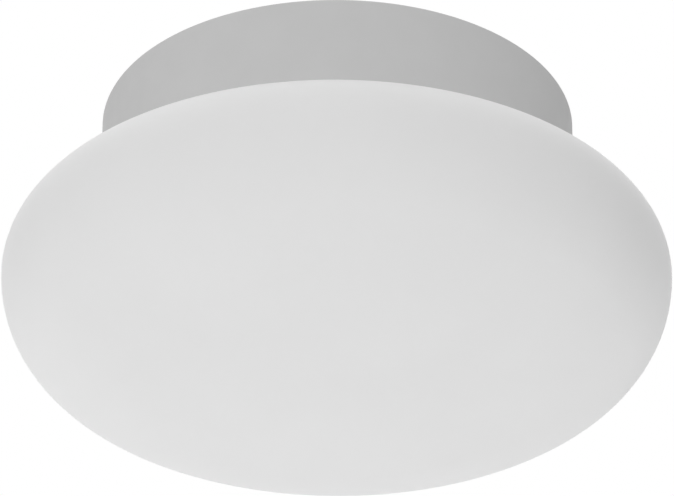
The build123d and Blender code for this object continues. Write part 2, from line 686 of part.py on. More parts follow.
with BuildPart() as transformer_winding:
    with BuildSketch(Plane.XZ.offset(-DRIVER_Y)):
        with Locations((core_x, pcb_low_z - CORE_HEIGHT / 2)):
            RectangleRounded(
                CORE_LENGTH - 2 * (CORE_LIMB + WINDING_CLEARANCE),
                CORE_HEIGHT - 2 * (CORE_LIMB + WINDING_CLEARANCE),
                MOULD_ROUNDING,
            )
    extrude(amount=WINDING_WIDTH / 2, both=True)
transformer_winding.part.label = "transformer_winding"
export_step(transformer_winding.part, "parts/transformer_winding.step")

with BuildPart() as bulk_capacitor:
    with BuildSketch(Plane.XY.offset(pcb_low_z - BULK_HEIGHT)):
        with Locations((bulk_x, DRIVER_Y)):
            Circle(BULK_RADIUS)
    extrude(amount=BULK_HEIGHT)
    fillet(bulk_capacitor.edges(), MOULD_ROUNDING)
bulk_capacitor.part.label = "bulk_capacitor"
export_step(bulk_capacitor.part, "parts/bulk_capacitor.step")

with BuildPart() as film_capacitor:
    with BuildSketch(Plane.XY.offset(pcb_low_z - FILM_HEIGHT)):
        with Locations((film_x, DRIVER_Y)):
            RectangleRounded(FILM_LENGTH, FILM_WIDTH, MOULD_ROUNDING)
    extrude(amount=FILM_HEIGHT)
    fillet(film_capacitor.edges().group_by(Axis.Z)[0], MOULD_EDGE)
film_capacitor.part.label = "film_capacitor"
export_step(film_capacitor.part, "parts/film_capacitor.step")

with BuildPart() as input_choke:
    choke_low_z = pcb_low_z - CHOKE_HEIGHT
    with BuildSketch(Plane.XY.offset(choke_low_z)):
        with Locations((choke_x, DRIVER_Y)):
            Circle(CHOKE_RADIUS)
    extrude(amount=CHOKE_HEIGHT)
    with BuildSketch(Plane.XY.offset(choke_low_z + CHOKE_FLANGE)):
        with Locations((choke_x, DRIVER_Y)):
            Circle(CHOKE_RADIUS)
            Circle(CHOKE_RADIUS - CHOKE_GROOVE, mode=Mode.SUBTRACT)
    extrude(amount=CHOKE_HEIGHT - 2 * CHOKE_FLANGE, mode=Mode.SUBTRACT)
input_choke.part.label = "input_choke"
export_step(input_choke.part, "parts/input_choke.step")

# Mains terminal block: wells for the buttons, pockets for the clamps, and wire entries on two sides
with BuildPart() as terminal_block:
    with BuildSketch(Plane.XY.offset(terminal_low_z)):
        with Locations((0, terminal_y)):
            RectangleRounded(terminal_width, TERMINAL_DEPTH, MOULD_ROUNDING)
    extrude(amount=TERMINAL_HEIGHT)
    fillet(terminal_block.edges().group_by(Axis.Z)[0], MOULD_EDGE)
    with BuildSketch(Plane.XY.offset(terminal_lug_z)):
        with Locations(*screw_places):
            Rectangle(TERMINAL_LUG, TERMINAL_LUG)
    extrude(amount=TERMINAL_LUG_HEIGHT)
    with BuildSketch(Plane.XY.offset(terminal_low_z)):
        with Locations(*[(x, terminal_y) for x in pole_xs]):
            Rectangle(BUTTON_WIDTH + 2 * BUTTON_GAP, BUTTON_DEPTH + 2 * BUTTON_GAP)
    extrude(amount=clamp_low_z - terminal_low_z, mode=Mode.SUBTRACT)
    with BuildSketch(Plane.XY.offset(clamp_low_z)):
        with Locations(*[(x, terminal_y) for x in pole_xs]):
            Rectangle(CLAMP_WIDTH + 2 * CLAMP_GAP, CLAMP_LENGTH + 2 * CLAMP_GAP)
    extrude(amount=terminal_top_z - clamp_low_z, mode=Mode.SUBTRACT)
    with BuildSketch(Plane.XZ.offset(-terminal_back_y)):
        with Locations(*[(x, pole_z) for x in pole_xs]):
            Circle(MAINS_WIRE_RADIUS + WIRE_FIT)
    extrude(amount=ENTRY_DEPTH, mode=Mode.SUBTRACT)
    with BuildSketch(Plane.XZ.offset(-terminal_front_y)):
        with Locations(*[(x, pole_z) for x in pole_xs]):
            Circle(ENTRY_RADIUS)
    extrude(amount=-ENTRY_DEPTH, mode=Mode.SUBTRACT)
    mouths = terminal_block.edges().filter_by(GeomType.CIRCLE).group_by(Axis.Y)[0]
    chamfer(mouths, ENTRY_FUNNEL)
    holes(screw_places, hole_radius, terminal_lug_z, TERMINAL_LUG_HEIGHT)
terminal_block.part.label = "terminal_block"
export_step(terminal_block.part, "parts/terminal_block.step")

# Insulating plate between the terminal block and the housing
with BuildPart() as terminal_plate:
    with BuildSketch(Plane.XY.offset(terminal_top_z)):
        with Locations((0, terminal_y)):
            Rectangle(terminal_width + 2 * TERMINAL_LUG, TERMINAL_DEPTH)
    extrude(amount=TERMINAL_PLATE)
    holes(screw_places, hole_radius, terminal_top_z, TERMINAL_PLATE)
terminal_plate.part.label = "terminal_plate"
export_step(terminal_plate.part, "parts/terminal_plate.step")

with BuildPart() as terminal_screws:
    pan_screws(screw_places, terminal_lug_z, TERMINAL_LUG_HEIGHT + TERMINAL_PLATE + SHEET)
terminal_screws.part.label = "terminal_screws"
export_step(terminal_screws.part, "parts/terminal_screws.step")

# Release buttons, each with a slot for a screwdriver's blade
for number, x in enumerate(pole_xs, start=1):
    with BuildPart() as release_button:
        with BuildSketch(Plane.XY.offset(button_low_z)):
            with Locations((x, terminal_y)):
                Rectangle(BUTTON_WIDTH, BUTTON_DEPTH)
        extrude(amount=BUTTON_LENGTH)
        fillet(release_button.edges().group_by(Axis.Z)[0], BUTTON_SLOT / 2)
        with BuildSketch(Plane.XY.offset(button_low_z)):
            with Locations((x, terminal_y)):
                Rectangle(BUTTON_WIDTH, BUTTON_SLOT)
        extrude(amount=BUTTON_SLOT, mode=Mode.SUBTRACT)
    release_button.part.label = f"release_button_{number}"
    export_step(release_button.part, f"parts/release_button_{number}.step")

# Clamps: a spring strip folded back over each button
clamp_top_z = terminal_top_z - CLAMP_GAP
clamp_half = CLAMP_LENGTH / 2
with BuildPart() as terminal_clamps:
    for x in pole_xs:
        with BuildSketch(Plane.YZ.offset(x)):
            with BuildLine():
                FilletPolyline(
                    (terminal_y - clamp_half, clamp_top_z - CLAMP_THICKNESS / 2),
                    (terminal_y + clamp_half - CLAMP_THICKNESS / 2, clamp_top_z - CLAMP_THICKNESS / 2),
                    (terminal_y + clamp_half - CLAMP_THICKNESS / 2, clamp_low_z + CLAMP_THICKNESS / 2),
                    (terminal_y - clamp_half / 2, clamp_low_z + CLAMP_THICKNESS / 2),
                    radius=CLAMP_BEND,
                )
            trace(line_width=CLAMP_THICKNESS)
        extrude(amount=CLAMP_WIDTH / 2, both=True)
terminal_clamps.part.label = "terminal_clamps"
export_step(terminal_clamps.part, "parts/terminal_clamps.step")

# Earth point: washer, ring lug and screw under the housing's floor
with BuildPart() as earth_washer:
    with BuildSketch(Plane.XY.offset(lug_top_z)):
        with Locations(earth_point):
            Circle(LUG_RADIUS)
            Circle(hole_radius, mode=Mode.SUBTRACT)
    extrude(amount=WASHER_HEIGHT)
earth_washer.part.label = "earth_washer"
export_step(earth_washer.part, "parts/earth_washer.step")

with BuildPart() as earth_lug:
    with BuildSketch(Plane.XY.offset(lug_low_z)):
        with Locations(earth_point):
            Circle(LUG_RADIUS)
            Rectangle(2 * barrel_radius, LUG_TONGUE, align=(Align.CENTER, Align.MIN))
            Circle(hole_radius, mode=Mode.SUBTRACT)
    extrude(amount=LUG_SHEET)
    with BuildSketch(Plane.XZ.offset(-barrel_y)):
        with Locations((earth_point[0], barrel_z)):
            Circle(barrel_radius)
    extrude(amount=-LUG_BARREL)
    with BuildSketch(Plane.XZ.offset(-barrel_y - LUG_BARREL)):
        with Locations((earth_point[0], barrel_z)):
            Circle(MAINS_WIRE_RADIUS + WIRE_FIT)
    extrude(amount=WIRE_GRIP, mode=Mode.SUBTRACT)
earth_lug.part.label = "earth_lug"
export_step(earth_lug.part, "parts/earth_lug.step")

with BuildPart() as earth_screw:
    pan_screws([earth_point], lug_low_z, EARTH_SCREW_LENGTH)
earth_screw.part.label = "earth_screw"
export_step(earth_screw.part, "parts/earth_screw.step")

# Wires: each route starts in one terminal and ends in another
pole_start_y = terminal_back_y - WIRE_GRIP
driver_start_x = pcb_length / 2 - WIRE_GRIP
driver_side_y = DRIVER_Y - DRIVER_WIDTH / 2
inner_x = driver_end + INNER_LOOP
outer_x = driver_end + OUTER_LOOP
lug_end_y = barrel_y + LUG_BARREL
connector_y = WIRE_GRIP - WIRE_FIT - CONNECTOR_DEPTH / 2
positive_z = tray_top_z + LED_POSITIVE_RISE
negative_z = tray_top_z + LED_NEGATIVE_RISE
earth_route = [
    (pole_xs[0], pole_start_y, pole_z),
    (pole_xs[0], terminal_back_y + EARTH_LEAD, pole_z),
    ((pole_xs[0] + earth_point[0]) / 2, terminal_back_y + EARTH_LEAD + EARTH_LOOP, (pole_z + barrel_z) / 2),
    (earth_point[0], lug_end_y + LUG_LEAD, barrel_z),
    (earth_point[0], lug_end_y - WIRE_GRIP + WIRE_FIT, barrel_z),
]
neutral_route = [
    (pole_xs[1], pole_start_y, pole_z),
    (pole_xs[1], terminal_back_y + NEUTRAL_LEAD, pole_z),
    (inner_x, driver_side_y - INNER_TURN, wire_z),
    (inner_x, pole_ys[0], wire_z),
    (driver_start_x, pole_ys[0], wire_z),
]
line_route = [
    (pole_xs[2], pole_start_y, pole_z),
    (pole_xs[2], terminal_back_y + LINE_LEAD, pole_z),
    (outer_x, driver_side_y - OUTER_TURN, wire_z),
    (outer_x, pole_ys[1], wire_z),
    (driver_start_x, pole_ys[1], wire_z),
]
led_positive_route = [
    (-driver_start_x, pole_ys[1], wire_z),
    (-outer_x, pole_ys[1], wire_z),
    (-outer_x, driver_side_y - OUTER_TURN, wire_z - LED_WIRE_SAG),
    (-LED_WIRE_APPROACH, BUSH_Y - LED_WIRE_SPREAD, positive_z + LED_WIRE_SAG),
    (led_wire_xs[0], BUSH_Y, positive_z),
    (led_wire_xs[0], BUSH_Y, led_wire_z),
    (led_wire_xs[0], connector_y, led_wire_z),
]
led_negative_route = [
    (-driver_start_x, pole_ys[0], wire_z),
    (-inner_x, pole_ys[0], wire_z),
    (-inner_x, driver_side_y - INNER_TURN, wire_z - LED_WIRE_SAG),
    (-LED_WIRE_APPROACH, BUSH_Y + LED_WIRE_SPREAD, negative_z + LED_WIRE_SAG),
    (led_wire_xs[1], BUSH_Y, negative_z),
    (led_wire_xs[1], BUSH_Y, led_wire_z),
    (led_wire_xs[1], connector_y, led_wire_z),
]
for name, route, radius, last_bend in (
    ("earth_wire", earth_route, MAINS_WIRE_RADIUS, None),
    ("neutral_wire", neutral_route, MAINS_WIRE_RADIUS, None),
    ("line_wire", line_route, MAINS_WIRE_RADIUS, None),
    ("led_positive_wire", led_positive_route, LED_WIRE_RADIUS, LED_WIRE_TURN),
    ("led_negative_wire", led_negative_route, LED_WIRE_RADIUS, LED_WIRE_TURN),
):
    radii = wire_radii(route)
    radii[-1] = last_bend or radii[-1]
    with BuildPart() as wire:
        with BuildLine() as wire_line:
            FilletPolyline(*route, radius=radii)
        with BuildSketch(Plane(origin=wire_line.line @ 0, z_dir=wire_line.line % 0)):
            Circle(radius)
        sweep(path=wire_line.line)
    wire.part.label = name
    export_step(wire.part, f"parts/{name}.step")
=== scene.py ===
import json
from math import cos, pi, radians, sin, tan

import bmesh
import bpy
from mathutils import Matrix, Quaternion, Vector


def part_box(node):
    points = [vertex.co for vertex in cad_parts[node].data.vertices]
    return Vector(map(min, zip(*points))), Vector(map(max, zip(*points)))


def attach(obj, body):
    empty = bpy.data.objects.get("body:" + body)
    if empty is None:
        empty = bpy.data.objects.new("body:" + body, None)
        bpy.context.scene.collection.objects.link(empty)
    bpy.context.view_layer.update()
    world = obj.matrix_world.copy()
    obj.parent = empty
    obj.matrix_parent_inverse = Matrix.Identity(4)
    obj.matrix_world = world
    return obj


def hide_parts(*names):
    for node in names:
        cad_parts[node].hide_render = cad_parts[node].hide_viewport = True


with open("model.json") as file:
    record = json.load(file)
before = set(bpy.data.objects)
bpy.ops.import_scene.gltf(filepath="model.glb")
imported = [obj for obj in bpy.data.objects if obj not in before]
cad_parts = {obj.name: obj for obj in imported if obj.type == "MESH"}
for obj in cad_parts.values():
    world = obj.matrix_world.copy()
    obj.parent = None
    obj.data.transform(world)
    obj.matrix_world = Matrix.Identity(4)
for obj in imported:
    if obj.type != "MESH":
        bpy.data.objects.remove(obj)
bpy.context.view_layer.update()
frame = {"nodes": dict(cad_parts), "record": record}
nodes = frame["nodes"]

# Camera, fitted to the outline of the glass and the base in the 674 by 496 image
IMAGE_WIDTH = 674
PIXELS_PER_METRE = 2232.0
SENSOR_WIDTH = 36.0
CAMERA_DISTANCE = 2.308
CAMERA_PITCH = radians(30.45)
CAMERA_ROLL = 0.0052
AIM_RIGHT = 0.0001
AIM_UP = 0.0165
VIEW_DEPTH = 100.0

# Lamps: the way to each from the middle of the glass, and its radiance
LAMP_DISTANCE = 2.2
LAMP_SIZE = 1.6
LAMPS = {
    "left_lamp": ((-1.0, 0.0, 0.0), 1.27),
    "front_lamp": ((0.0, -1.0, 0.0), 1.0),
    "lower_lamp": ((0.0, 0.0, -1.0), 2.84),
    "upper_lamp": ((0.0, -0.8, 0.6), 1.33),
}

# Stage: ambient light, a white background, and a floor that glows only as part of that background
WHITE = (1.0, 1.0, 1.0, 1.0)
AMBIENT = 0.535
BACKGROUND = 1.0
FLOOR_DROP = 5.0
FLOOR_SIZE = 40.0
FLOOR_COLOUR = (0.85, 0.85, 0.85, 1.0)
FLOOR_ROUGHNESS = 0.9
FLOOR_GLOW = 0.5

# Glass: the same curves as the blown shell's, in metres
GLASS_WALL = 0.0035
LOWER_RIM_RADIUS = 0.045
LOWER_RIM_TURN = radians(60.0)
BLEND_RADIUS = 0.140
BLEND_TURN = radians(20.0)
UPPER_RIM_RADIUS = 0.0235
SHOULDER_SLOPE = radians(8.0)
NECK_RADIUS = 0.096
NECK_FILLET = 0.004
BEAD_HEIGHT = 0.003
BEAD_LENGTH = 0.003
BEAD_FLANK = radians(45.0)
BEAD_ROUNDING = 0.001
LIP_ROUNDING = 0.0012

# Housing edges and the paint on them, in metres
CEILING_EDGE = 0.0012
MOUTH_EDGE = 0.002
PAINT_FILM = 0.00004
PAINT_BITE = 0.0001

# Steps round the axis and along the curves of the turned pieces
TURN_STEPS = 256
OUTER_STEPS = 24
INNER_STEPS = 16
BEAD_STEPS = 6
LIP_STEPS = 8
EDGE_STEPS = 10

# Emitters on the board, with their sizes in metres
LED_PITCH = 0.015
LED_RINGS = 3
FIRST_RING_LEDS = 6
LED_LENGTH = 0.0035
LED_WIDTH = 0.0028
LED_HEIGHT = 0.0007
LED_RIM = 0.00035
LED_DISH = 0.0002
LED_LOOKS = ("led_frame", "led_phosphor")
CORNERS = ((-1, -1), (1, -1), (1, 1), (-1, 1))

# Textures: the range of a noise that is used, and clouds and gloss as multiples of the grain
NOISE_DETAIL = 3.0
NOISE_SPAN = (0.3, 0.7)
MOULDED_CLOUD = 20
MOULDED_GLOSS = 8
MOULDED_GLOSS_SPREAD = 0.05
METAL_CLOUD = 12
METAL_CLOUD_SPREAD = 0.08
METAL_GLOSS_SPREAD = 0.08

# Foam cells, whose colour span paints shade into the cell pits, and the bands of striped wire: this wave
# scale makes bands about 1 m wide
FOAM_SPAN = (0.1, 0.8)
BAND_SCALE = 0.3
BAND_DISTORTION = 0.4
BAND_SPAN = (0.55, 0.6)

# Opal glass, with its sizes in metres
OPAL_COLOUR = (0.80, 0.80, 0.80)
OPAL_CLOUD = 0.07
OPAL_CLOUD_DETAIL = 1.0
OPAL_CLOUD_SPREAD = 0.008
OPAL_GLOSS = 0.03
OPAL_ROUGHNESS = (0.38, 0.42)
OPAL_WAVE = 0.05
OPAL_WAVE_DETAIL = 0.0
OPAL_WAVE_DEPTH = 0.0001
OPAL_MILK = 0.5
OPAL_MILK_DEPTH = 0.006
OPAL_IOR = 1.5

# Solder mask on the board, with its sizes in metres: the copper under it stops short of each ring of emitters
BARE_COLOUR = (0.80, 0.80, 0.78)
COPPER_COLOUR = (0.86, 0.86, 0.84)
COPPER_GAP = 0.0042
COPPER_EDGE = 0.0003
COPPER_HEIGHT = 0.00004
MASK_GLOSS = 0.004
MASK_ROUGHNESS = (0.3, 0.4)

# Finishes by name: colours are linear, and grain, depth, soft, cell and width are in metres
MOULDED = {
    "housing_paint": dict(
        colour=(0.567, 0.567, 0.567), rough=0.6, grain=0.0009, depth=0.000012, spread=0.012, shine=0.25
    ),
    "tray_paint": dict(colour=(0.84, 0.84, 0.83), rough=0.6, grain=0.0007, depth=0.00001, spread=0.015),
    "black_rubber": dict(colour=(0.03, 0.03, 0.03), rough=0.6, grain=0.0004, depth=0.00002, spread=0.25),
    "white_silicone": dict(
        colour=(0.78, 0.78, 0.76), rough=0.45, grain=0.0008, depth=0.00001, spread=0.02, soft=0.002
    ),
    "white_nylon": dict(
        colour=(0.78, 0.78, 0.75), rough=0.4, grain=0.0003, depth=0.000008, spread=0.03, soft=0.001
    ),
    "case_plastic": dict(colour=(0.70, 0.70, 0.68), rough=0.5, grain=0.0004, depth=0.000025, spread=0.03),
    "pcb_laminate": dict(colour=(0.03, 0.13, 0.05), rough=0.35, grain=0.0009, depth=0.00002, spread=0.2),
    "ferrite": dict(colour=(0.06, 0.06, 0.06), rough=0.7, grain=0.0003, depth=0.00003, spread=0.3),
    "winding_tape": dict(colour=(0.62, 0.40, 0.03), rough=0.3, grain=0.0008, depth=0.00002, spread=0.1),
    "capacitor_sleeve": dict(colour=(0.02, 0.03, 0.06), rough=0.28, grain=0.0012, depth=0.00002, spread=0.2),
    "film_box": dict(colour=(0.35, 0.03, 0.02), rough=0.45, grain=0.0004, depth=0.00002, spread=0.1),
    "button_orange": dict(colour=(0.72, 0.16, 0.01), rough=0.4, grain=0.0003, depth=0.00001, spread=0.06),
    "wire_brown": dict(colour=(0.12, 0.045, 0.02), rough=0.4, grain=0.0006, depth=0.00001, spread=0.12),
    "wire_blue": dict(colour=(0.02, 0.07, 0.32), rough=0.4, grain=0.0006, depth=0.00001, spread=0.1),
    "wire_red": dict(colour=(0.42, 0.02, 0.015), rough=0.4, grain=0.0006, depth=0.00001, spread=0.1),
    "wire_black": dict(colour=(0.02, 0.02, 0.02), rough=0.4, grain=0.0006, depth=0.00001, spread=0.2),
    "led_frame": dict(colour=(0.84, 0.84, 0.82), rough=0.35, grain=0.0002, depth=0.000005, spread=0.02),
    "led_phosphor": dict(
        colour=(0.80, 0.58, 0.12), rough=0.25, grain=0.0002, depth=0.000005, spread=0.08, soft=0.0005
    ),
}
METALS = {
    "spring_steel": dict(
        colour=(0.52, 0.51, 0.49), rough=0.3, grain=0.0006, depth=0.000004, stretch=(1.0, 1.0, 0.05)
    ),
    "zinc_steel": dict(
        colour=(0.62, 0.64, 0.66), rough=0.32, grain=0.0005, depth=0.000005, stretch=(1.0, 1.0, 1.0)
    ),
    "copper_winding": dict(
        colour=(0.55, 0.21, 0.07), rough=0.3, grain=0.0006, depth=0.00003, stretch=(0.05, 0.05, 1.0)
    ),
    "tinned_brass": dict(
        colour=(0.66, 0.62, 0.55), rough=0.35, grain=0.0004, depth=0.000005, stretch=(1.0, 0.2, 1.0)
    ),
}
FOAMS = {
    "gasket_foam": dict(colour=(0.09, 0.09, 0.09), rough=0.85, cell=0.0011, depth=0.0003, spread=0.35),
}
STRIPES = {
    "wire_green_yellow": dict(first=(0.05, 0.26, 0.04), second=(0.75, 0.58, 0.03), rough=0.4, width=0.003),
}

# Places worked out from the frame
glass_low, glass_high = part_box("glass_diffuser")
housing_low, housing_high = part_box("housing_shell")
board_low_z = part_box("led_board")[0].z
glass_radius = glass_high.x
lower_rim_x = glass_radius - LOWER_RIM_RADIUS
upper_rim_x = glass_radius - UPPER_RIM_RADIUS
blend_step = BLEND_RADIUS - LOWER_RIM_RADIUS
blend_x = lower_rim_x - blend_step * cos(LOWER_RIM_TURN)
blend_rise = blend_step * sin(LOWER_RIM_TURN)
crown_turn = pi / 2 - LOWER_RIM_TURN - BLEND_TURN
crown_radius = BLEND_RADIUS + blend_x / sin(crown_turn)
crown_rise = blend_rise + blend_x / tan(crown_turn)
equator_z = glass_low.z + crown_radius - crown_rise
middle = Vector((0, 0, equator_z))


# Profiles
def arc(centre_x, centre_z, radius, start, turn, steps):
    """Points along an arc, from its start angle on."""
    angles = [start + turn * step / steps for step in range(steps + 1)]
    return [(centre_x + radius * cos(angle), centre_z + radius * sin(angle)) for angle in angles]


def glass_skin(inset, steps):
    """One skin of the glass, from the lowest point over the rim to the foot of the neck."""
    crown = arc(0, equator_z + crown_rise, crown_radius - inset, -pi / 2, crown_turn, steps)
    blend_z = equator_z + blend_rise
    blend = arc(blend_x, blend_z, BLEND_RADIUS - inset, crown_turn - pi / 2, BLEND_TURN, steps)
    lower_radius = LOWER_RIM_RADIUS - inset
    lower_rim = arc(lower_rim_x, equator_z, lower_radius, -LOWER_RIM_TURN, LOWER_RIM_TURN, 2 * steps)
    upper_radius = UPPER_RIM_RADIUS - inset
    upper_rim = arc(upper_rim_x, equator_z, upper_radius, 0, pi / 2 - SHOULDER_SLOPE, 2 * steps)
    shoulder_x, shoulder_z = upper_rim[-1]
    fillet = NECK_FILLET + inset
    fillet_x = NECK_RADIUS - inset + fillet
    fillet_z = shoulder_z + (shoulder_x - fillet_x) * tan(SHOULDER_SLOPE) + fillet / cos(SHOULDER_SLOPE)
    foot = arc(fillet_x, fillet_z, fillet, -pi / 2 - SHOULDER_SLOPE, SHOULDER_SLOPE - pi / 2, steps)
    return crown + blend[1:] + lower_rim[1:] + upper_rim[1:] + foot


def neck_end():
    """The bead outside the neck's top, and the rounded lip."""
    bead_x = NECK_RADIUS + BEAD_HEIGHT
    bead_z = glass_high.z - BEAD_LENGTH
    flank_z = bead_z - BEAD_HEIGHT / tan(BEAD_FLANK)
    turn_z = bead_z + BEAD_ROUNDING * tan(BEAD_FLANK / 2)
    lip_x = NECK_RADIUS - GLASS_WALL + LIP_ROUNDING
    lip_z = glass_high.z - LIP_ROUNDING
    flank = [(NECK_RADIUS, flank_z)]
    bead = arc(bead_x - BEAD_ROUNDING, turn_z, BEAD_ROUNDING, -BEAD_FLANK, BEAD_FLANK, BEAD_STEPS)
    outer_lip = arc(bead_x - LIP_ROUNDING, lip_z, LIP_ROUNDING, 0, pi / 2, LIP_STEPS)
    inner_lip = arc(lip_x, lip_z, LIP_ROUNDING, pi / 2, pi / 2, LIP_STEPS)
    return flank + bead + outer_lip + inner_lip


def wall_skin(offset):
    """The housing wall's outside, from its ceiling edge to its mouth edge, this far out from the metal."""
    top_x, top_z = housing_high.x - CEILING_EDGE, housing_high.z - CEILING_EDGE
    mouth_x, mouth_z = housing_high.x - MOUTH_EDGE, housing_low.z + MOUTH_EDGE
    top = arc(top_x, top_z, CEILING_EDGE + offset, pi / 2, -pi / 2, EDGE_STEPS)
    return top + arc(mouth_x, mouth_z, MOUTH_EDGE + offset, 0, -pi / 2, EDGE_STEPS)


# Meshes
def finished_mesh(name, mesh):
    """A smooth-shaded object made from a bmesh."""
    data = bpy.data.meshes.new(name)
    mesh.to_mesh(data)
    mesh.free()
    data.shade_smooth()
    piece = bpy.data.objects.new(name, data)
    bpy.context.scene.collection.objects.link(piece)
    return piece


def closed_mesh(name, mesh):
    """An object made from a closed bmesh, with its faces turned outward."""
    bmesh.ops.recalc_face_normals(mesh, faces=mesh.faces)
    return finished_mesh(name, mesh)


def turned_rings(mesh, profile):
    """A ring of points round the axis for each point of a profile."""
    angles = [2 * pi * index / TURN_STEPS for index in range(TURN_STEPS)]
    return [
        [mesh.verts.new((radius * cos(angle), radius * sin(angle), z)) for angle in angles]
        for radius, z in profile
    ]


def band(mesh, low, high):
    """Faces between two rings of points."""
    for index in range(len(low)):
        after = (index + 1) % len(low)
        mesh.faces.new((low[index], low[after], high[after], high[index]))


def bowl(name, profile):
    """A closed surface of revolution whose profile starts and ends on the axis."""
    mesh = bmesh.new()
    rings = turned_rings(mesh, profile[1:-1])
    for low, high in zip(rings, rings[1:]):
        band(mesh, low, high)
    for tip, ring in ((profile[0], rings[0]), (profile[-1], rings[-1])):
        point = mesh.verts.new((0, 0, tip[1]))
        for index in range(TURN_STEPS):
            mesh.faces.new((point, ring[index], ring[(index + 1) % TURN_STEPS]))
    return closed_mesh(name, mesh)


def hoop(name, profile):
    """A closed surface of revolution whose profile is a loop clear of the axis."""
    mesh = bmesh.new()
    rings = turned_rings(mesh, profile)
    for low, high in zip(rings, rings[1:] + rings[:1]):
        band(mesh, low, high)
    return closed_mesh(name, mesh)


def led_package(mesh, radius, turn):
    """One emitter under the board: a frame round a sunk dish, this far from the axis and turned round it."""
    outline = [(side * LED_LENGTH / 2, end * LED_WIDTH / 2) for side, end in CORNERS]
    dish = [(side * (LED_LENGTH / 2 - LED_RIM), end * (LED_WIDTH / 2 - LED_RIM)) for side, end in CORNERS]
    low_z = board_low_z - LED_HEIGHT
    levels = ((outline, board_low_z), (outline, low_z), (dish, low_z), (dish, low_z + LED_DISH))
    loops = [
        [mesh.verts.new(turn @ Vector((radius + x, y, z))) for x, y in shape]
        for shape, z in levels
    ]
    for lower, upper in zip(loops, loops[1:]):
        band(mesh, lower, upper)
    mesh.faces.new(loops[0])
    mesh.faces.new(loops[-1]).material_index = LED_LOOKS.index("led_phosphor")


# Textures
def start_material(name):
    """A material with its node tree, principled shader and object coordinates."""
    material = bpy.data.materials.new(name)
    material.use_nodes = True
    tree = material.node_tree
    place = tree.nodes.new("ShaderNodeTexCoord")
    return material, tree, tree.nodes["Principled BSDF"], place.outputs["Object"]


def stretched(tree, place, scale):
    """Object coordinates, scaled along each axis."""
    mapping = tree.nodes.new("ShaderNodeMapping")
    mapping.inputs["Scale"].default_value = scale
    tree.links.new(place, mapping.inputs["Vector"])
    return mapping.outputs["Vector"]


def noise(tree, place, size, detail=NOISE_DETAIL):
    """Noise whose features are about this size, in metres."""
    texture = tree.nodes.new("ShaderNodeTexNoise")
    texture.inputs["Scale"].default_value = 1 / size
    texture.inputs["Detail"].default_value = detail
    tree.links.new(place, texture.inputs["Vector"])
    return texture.outputs["Fac"]


def cells(tree, place, size):
    """Rounded cells of about this size, in metres."""
    texture = tree.nodes.new("ShaderNodeTexVoronoi")
    texture.inputs["Scale"].default_value = 1 / size
    tree.links.new(place, texture.inputs["Vector"])
    return texture.outputs["Distance"]


def colour_between(tree, shader, factor, low, high, span=NOISE_SPAN):
    """Base colour that runs between two colours with a texture."""
    ramp = tree.nodes.new("ShaderNodeValToRGB")
    for stop, position, colour in zip(ramp.color_ramp.elements, span, (low, high)):
        stop.position = position
        stop.color = (*colour, 1.0)
    tree.links.new(factor, ramp.inputs["Fac"])
    tree.links.new(ramp.outputs["Color"], shader.inputs["Base Color"])


def roughness_between(tree, shader, factor, low, high):
    """Roughness that runs between two values with a noise."""
    spread = tree.nodes.new("ShaderNodeMapRange")
    spread.inputs["From Min"].default_value, spread.inputs["From Max"].default_value = NOISE_SPAN
    spread.inputs["To Min"].default_value = low
    spread.inputs["To Max"].default_value = high
    tree.links.new(factor, spread.inputs["Value"])
    tree.links.new(spread.outputs["Result"], shader.inputs["Roughness"])


def relief(tree, shader, factor, depth):
    """Bumps of this depth, in metres."""
    bump = tree.nodes.new("ShaderNodeBump")
    bump.inputs["Strength"].default_value = 1.0
    bump.inputs["Distance"].default_value = depth
    tree.links.new(factor, bump.inputs["Height"])
    tree.links.new(bump.outputs["Normal"], shader.inputs["Normal"])


def milkiness(shader, weight, depth):
    """Light that spreads inside the material, about this far, in metres."""
    shader.inputs["Subsurface Weight"].default_value = weight
    shader.inputs["Subsurface Radius"].default_value = (depth, depth, depth)
    shader.inputs["Subsurface Scale"].default_value = 1.0


def shades(colour, spread):
    """A darker and a lighter shade of a colour."""
    return [tuple(channel * share for channel in colour) for share in (1 - spread, 1 + spread)]


# Materials
def moulded(name, colour, rough, grain, depth, spread, soft=0.0, shine=0.5):
    """Moulded, coated or extruded material: fine grain, faint cloudiness and uneven gloss."""
    material, tree, shader, place = start_material(name)
    colour_between(tree, shader, noise(tree, place, MOULDED_CLOUD * grain), *shades(colour, spread))
    gloss = noise(tree, place, MOULDED_GLOSS * grain)
    roughness_between(tree, shader, gloss, rough - MOULDED_GLOSS_SPREAD, rough + MOULDED_GLOSS_SPREAD)
    relief(tree, shader, noise(tree, place, grain), depth)
    shader.inputs["Specular IOR Level"].default_value = shine
    if soft:
        milkiness(shader, 1.0, soft)
    return material


def metal(name, colour, rough, grain, depth, stretch):
    """Bare metal with rolled, brushed or plated grain."""
    material, tree, shader, place = start_material(name)
    shader.inputs["Metallic"].default_value = 1.0
    along = stretched(tree, place, stretch)
    colour_between(tree, shader, noise(tree, place, METAL_CLOUD * grain), *shades(colour, METAL_CLOUD_SPREAD))
    gloss = noise(tree, along, grain)
    roughness_between(tree, shader, gloss, rough - METAL_GLOSS_SPREAD, rough + METAL_GLOSS_SPREAD)
    relief(tree, shader, noise(tree, along, grain), depth)
    return material


def foam(name, colour, rough, cell, depth, spread):
    """Closed-cell foam, with painted shade: its colour darkens into the cell pits, where the bumps dip."""
    material, tree, shader, place = start_material(name)
    bubbles = cells(tree, place, cell)
    # Painted shade: the colour runs darker towards the middle of each cell, the low point of the relief
    colour_between(tree, shader, bubbles, *shades(colour, spread), span=FOAM_SPAN)
    shader.inputs["Roughness"].default_value = rough
    relief(tree, shader, bubbles, depth)
    return material


